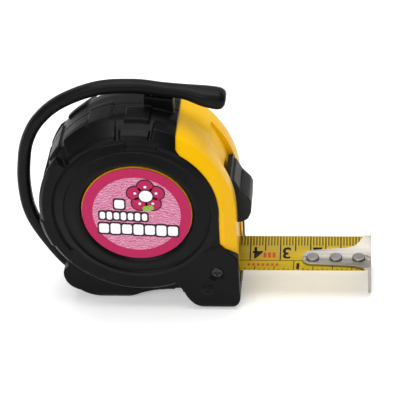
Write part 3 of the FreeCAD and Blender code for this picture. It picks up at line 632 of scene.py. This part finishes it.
def digit(text, x, y0, y1, name):
    """Printed numeral, read from the far side; x is its edge nearest the case."""
    curve = bpy.data.curves.new(name, "FONT")
    curve.body = text
    curve.size = 1.0
    curve.offset = 0.018
    holder = bpy.data.objects.new(name, curve)
    bpy.context.scene.collection.objects.link(holder)
    bpy.context.view_layer.update()
    graph = bpy.context.evaluated_depsgraph_get()
    mesh = bpy.data.meshes.new_from_object(holder.evaluated_get(graph))
    bpy.data.objects.remove(holder)
    bm = bmesh.new()
    bm.from_mesh(mesh)
    bmesh.ops.remove_doubles(bm, verts=bm.verts, dist=1e-5)
    low_x = min(v.co.x for v in bm.verts)
    low_y = min(v.co.y for v in bm.verts)
    height = max(v.co.y for v in bm.verts) - low_y
    scale = (y1 - y0) / height
    for v in bm.verts:
        v.co = Vector(((v.co.x - low_x) * scale, (v.co.y - low_y) * scale, 0))
    width = max(v.co.x for v in bm.verts)
    for i in range(1, DIGIT_CUTS):
        at = (y1 - y0) * i / DIGIT_CUTS
        geometry = list(bm.verts) + list(bm.edges) + list(bm.faces)
        bmesh.ops.bisect_plane(bm, geom=geometry, plane_co=(0, at, 0), plane_no=(0, 1, 0))
    bmesh.ops.solidify(bm, geom=list(bm.faces), thickness=INK_THICK)
    lows = min(v.co.z for v in bm.verts)
    for v in bm.verts:
        v.co = on_blade(x + width - v.co.x, y1 - v.co.y, INK_LIFT + v.co.z - lows)
    bmesh.ops.recalc_face_normals(bm, faces=bm.faces)
    bm.to_mesh(mesh)
    bm.free()
    add_object(name, mesh, INK, "blade")


def red_marks():
    """Plain red blocks in two rows, in place of small lettering."""
    bm = bmesh.new()
    start = zero_x - 4 * CENTIMETRE
    for i in range(3):
        left = start + (4.4 + 1.5 * i) * MM
        printed_bar(bm, left, left + 0.95 * MM, 1.1 * MM, 3.4 * MM)
    for i in range(7):
        left = start + (-0.6 + 1.55 * i) * MM
        printed_bar(bm, left, left + 0.8 * MM, -4.0 * MM, -2.2 * MM)
    finish_print(bm, "red_marks", RED_INK)


metric_scale()
inch_scale()
red_marks()
for number in range(1, 5):
    digit(str(number), zero_x - number * CENTIMETRE + 0.8 * MM, 0.6 * MM, 5.5 * MM, f"centimetre_{number}")
digit("1", zero_x - INCH + 0.9 * MM, -7.2 * MM, -2.0 * MM, "inch_1")


# ---------------------------------------------------------------- label print
LABEL_Y = label_low.y
PRINT_STEP = 0.03 * MM
PRINT_THICK = 0.03 * MM
PRINT_SINK = 0.005 * MM


def flat_print(name, outline, material, layer):
    """Closed thin plate on the label's face; outline is a list of (x, z) round the label's centre."""
    bm = bmesh.new()
    y_back = LABEL_Y - layer * PRINT_STEP + PRINT_SINK
    y_front = y_back - PRINT_THICK
    back = [bm.verts.new((x, y_back, reel_pos.z + z)) for x, z in outline]
    front = [bm.verts.new((x, y_front, reel_pos.z + z)) for x, z in outline]
    count = len(outline)
    for i in range(count):
        j = (i + 1) % count
        bm.faces.new((back[i], back[j], front[j], front[i]))
    bm.faces.new(back)
    bm.faces.new(front)
    bmesh.ops.triangulate(bm, faces=[f for f in bm.faces if len(f.verts) > 4])
    bmesh.ops.recalc_face_normals(bm, faces=bm.faces)
    mesh = bpy.data.meshes.new(name)
    bm.to_mesh(mesh)
    bm.free()
    add_object(name, mesh, material, "case")


def circle(cx, cz, radius, count):
    """Points (x, z) round a circle."""
    angles = [2 * math.pi * i / count for i in range(count)]
    return [(cx + radius * math.cos(a), cz + radius * math.sin(a)) for a in angles]


def rounded_bar(cx, cz, length, height, tilt, radius):
    """Rounded rectangle turned by tilt degrees."""
    points = []
    for sx, sz, start in ((1, 1, 0), (-1, 1, 90), (-1, -1, 180), (1, -1, 270)):
        for k in range(6):
            a = math.radians(start + 18 * k)
            points.append((sx * (length / 2 - radius) + radius * math.cos(a),
                           sz * (height / 2 - radius) + radius * math.sin(a)))
    turn = math.radians(tilt)
    return [(cx + x * math.cos(turn) - z * math.sin(turn), cz + x * math.sin(turn) + z * math.cos(turn))
            for x, z in points]


FIELD_R = 14.0 * MM
ROW_TILT = -3
BLOCK_RIM = 1.3
BLOCK_GAP = 0.55
PETAL_RIM = 0.45 * MM


def block_row(name, left, right, z, height, count):
    """Row of plain rounded blocks with a dark outline round each; lengths are in millimetres."""
    step = (right - left) / count
    slope = math.tan(math.radians(ROW_TILT))
    for i in range(count):
        x = left + step * (i + 0.5)
        middle = z + x * slope
        tall = height * (1.0 if i % 2 else 0.9)
        rim = rounded_bar(x * MM, middle * MM, (step + 0.5) * MM, (tall + BLOCK_RIM) * MM, ROW_TILT, 0.9 * MM)
        flat_print(f"{name}_rim_{i}", rim, OUTLINE, 2 + i % 2)
        face = rounded_bar(x * MM, middle * MM, (step - BLOCK_GAP) * MM, tall * MM, ROW_TILT, 0.7 * MM)
        flat_print(f"{name}_{i}", face, WHITE, 4)


def flower(cx, cz, reach, petal, count):
    """Generic flower: outlined petals round a white centre."""
    for i in range(count):
        angle = math.radians(90 + 360 / count * i)
        x, z = cx + reach * math.cos(angle), cz + reach * math.sin(angle)
        flat_print(f"petal_rim_{i}", circle(x, z, petal + PETAL_RIM, 40), OUTLINE, 2 + i % 2)
        flat_print(f"petal_{i}", circle(x, z, petal, 40), RING_PINK, 4)
        flat_print(f"petal_spot_{i}", circle(x, z, petal * 0.18, 16), WHITE, 5)
    flat_print("flower_centre_rim", circle(cx, cz, 2.5 * MM, 48), OUTLINE, 5)
    flat_print("flower_centre", circle(cx, cz, 2.1 * MM, 48), WHITE, 6)


flat_print("label_field", circle(0, 0, FIELD_R, 96), SWIRL, 1)
block_row("blocks_top", -7.0, -3.4, 3.6, 3.6, 1)
block_row("blocks_middle", -12.0, 3.6, -1.0, 3.0, 7)
block_row("blocks_low", -12.6, 13.0, -6.0, 4.0, 7)
flower(3.4 * MM, 7.0 * MM, 3.5 * MM, 2.45 * MM, 5)
flat_print("leaf", rounded_bar(3.9 * MM, 2.4 * MM, 3.6 * MM, 1.9 * MM, 12, 0.9 * MM), GREEN, 6)


# ---------------------------------------------------------------- stage
LIT_POINT = Vector((0.02, 0, 0.03))


def stage_floor():
    """Pale seamless floor that curves up behind the object."""
    bend_from, bend_r = 1.2, 0.8
    rows = [(-2.0, 0.0), (bend_from, 0.0)]
    for angle in [math.radians(degrees) for degrees in range(10, 91, 10)]:
        rows.append((bend_from + bend_r * math.sin(angle), bend_r - bend_r * math.cos(angle)))
    rows.append((bend_from + bend_r, 3.0))
    bm = bmesh.new()
    lines = [[bm.verts.new((x, y, z)) for x in (-3.0, 3.0)] for y, z in rows]
    for a, b in zip(lines, lines[1:]):
        bm.faces.new((a[0], a[1], b[1], b[0]))
    mesh = bpy.data.meshes.new("floor")
    bm.to_mesh(mesh)
    bm.free()
    for polygon in mesh.polygons:
        polygon.use_smooth = True
    floor = bpy.data.objects.new("floor", mesh)
    bpy.context.scene.collection.objects.link(floor)
    s = Shader("floor_paper", (0.9, 0.9, 0.9, 1), 0.7, specular=0.2)
    s.color(s.ramp(s.noise(6, 2), (0.88, 0.88, 0.88), (0.92, 0.92, 0.92)))
    s.bsdf.inputs["Emission Color"].default_value = (1, 1, 1, 1)
    s.bsdf.inputs["Emission Strength"].default_value = 0.3
    mesh.materials.append(s.material)


def soft_light(name, energy, size, location):
    """White rectangular lamp that faces the object."""
    data = bpy.data.lights.new(name, "AREA")
    data.energy = energy
    data.shape = "RECTANGLE"
    data.size, data.size_y = size
    obj = bpy.data.objects.new(name, data)
    obj.location = location
    obj.rotation_euler = (LIT_POINT - Vector(location)).to_track_quat("-Z", "Y").to_euler()
    bpy.context.scene.collection.objects.link(obj)


def world_light(strength):
    """Even white surroundings."""
    world = bpy.data.worlds.new("soft_box")
    bpy.context.scene.world = world
    world.use_nodes = True
    background = world.node_tree.nodes["Background"]
    background.inputs["Color"].default_value = (1, 1, 1, 1)
    background.inputs["Strength"].default_value = strength


stage_floor()
world_light(0.24)
soft_light("top_soft", 10.0, (1.0, 1.0), (0.0, 0.15, 0.95))
soft_light("front_soft", 6.0, (0.9, 0.5), (-0.35, -0.95, 0.75))
bpy.context.scene.view_settings.view_transform = "Standard"


# ---------------------------------------------------------------- camera
def camera():
    """Long lens from above the label side, turned a little towards the blade's end."""
    elevation, azimuth, roll = math.radians(35.4), math.radians(6.4), math.radians(3.6)
    distance = 0.5676
    target = Vector((0.0185, 0.0, 0.0325))
    back = Vector((math.sin(azimuth) * math.cos(elevation), -math.cos(azimuth) * math.cos(elevation),
                   math.sin(elevation)))
    right = Vector((math.cos(azimuth), math.sin(azimuth), 0))
    up = back.cross(right)
    turned_right = math.cos(roll) * right - math.sin(roll) * up
    turned_up = math.sin(roll) * right + math.cos(roll) * up
    data = bpy.data.cameras.new("camera")
    data.sensor_width = 36
    data.lens = 157.5
    data.clip_start, data.clip_end = 0.01, 20
    obj = bpy.data.objects.new("camera", data)
    basis = Matrix((turned_right, turned_up, back)).transposed().to_4x4()
    obj.matrix_world = Matrix.Translation(target + back * distance) @ basis
    bpy.context.scene.collection.objects.link(obj)
    bpy.context.scene.camera = obj


camera()
